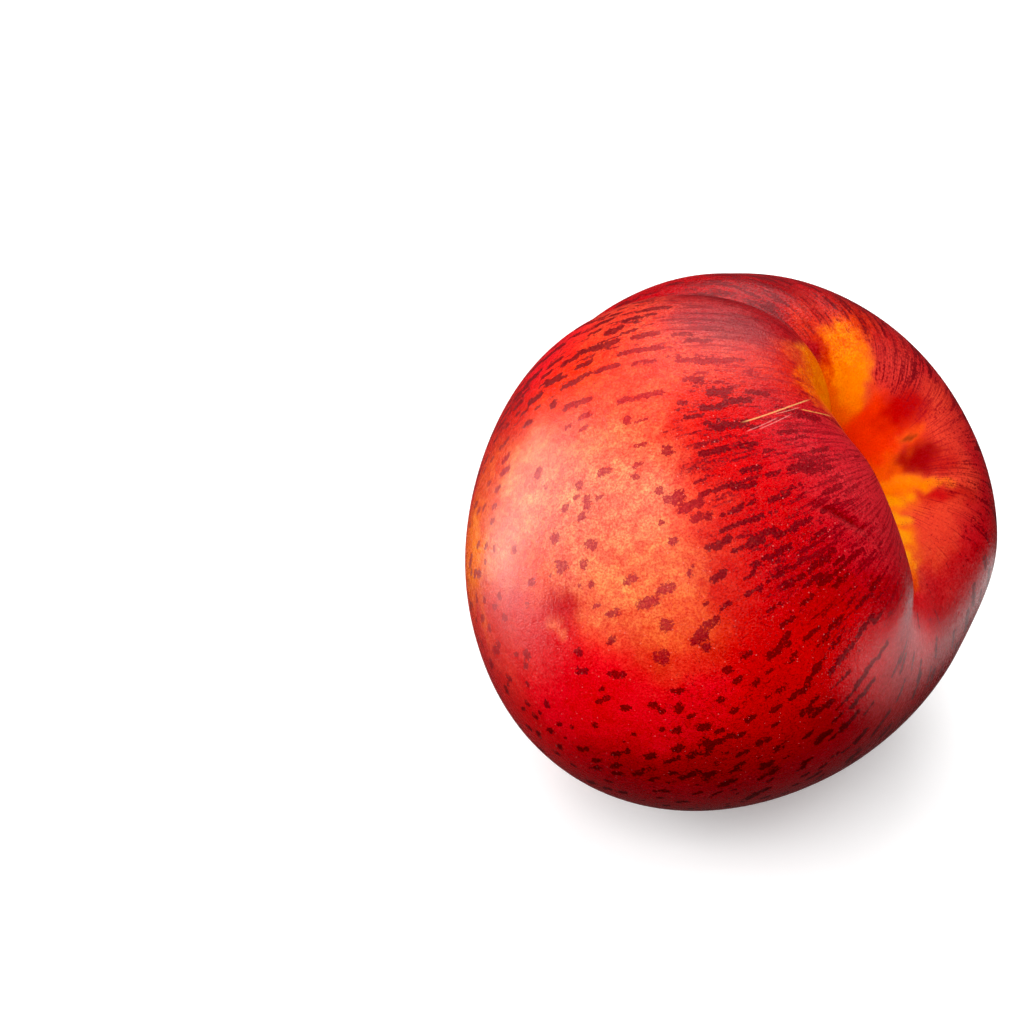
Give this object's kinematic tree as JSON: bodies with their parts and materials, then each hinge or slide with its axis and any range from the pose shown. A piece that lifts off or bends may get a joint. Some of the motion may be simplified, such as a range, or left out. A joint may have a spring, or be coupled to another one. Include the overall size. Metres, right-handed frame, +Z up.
{
  "type": "nectarine",
  "caption": "Whole ripe nectarine lying on its side, with a deep stem hollow, a seam furrow and a small blossom point.",
  "frame": {"origin": "on the surface the fruit rests on, under the middle of its bounding box", "axes": "+Z up; +X to the side the stem hollow turns to; +Y away from the near cheek. The stem axis points 35 degrees above the horizontal, 15 degrees from +X towards -Y."},
  "size_m": [0.0722, 0.0786, 0.0714],
  "materials": {
    "skin": "satin"
  },
  "bodies": {
    "root": {"fruit": "skin"}
  },
  "joints": []
}
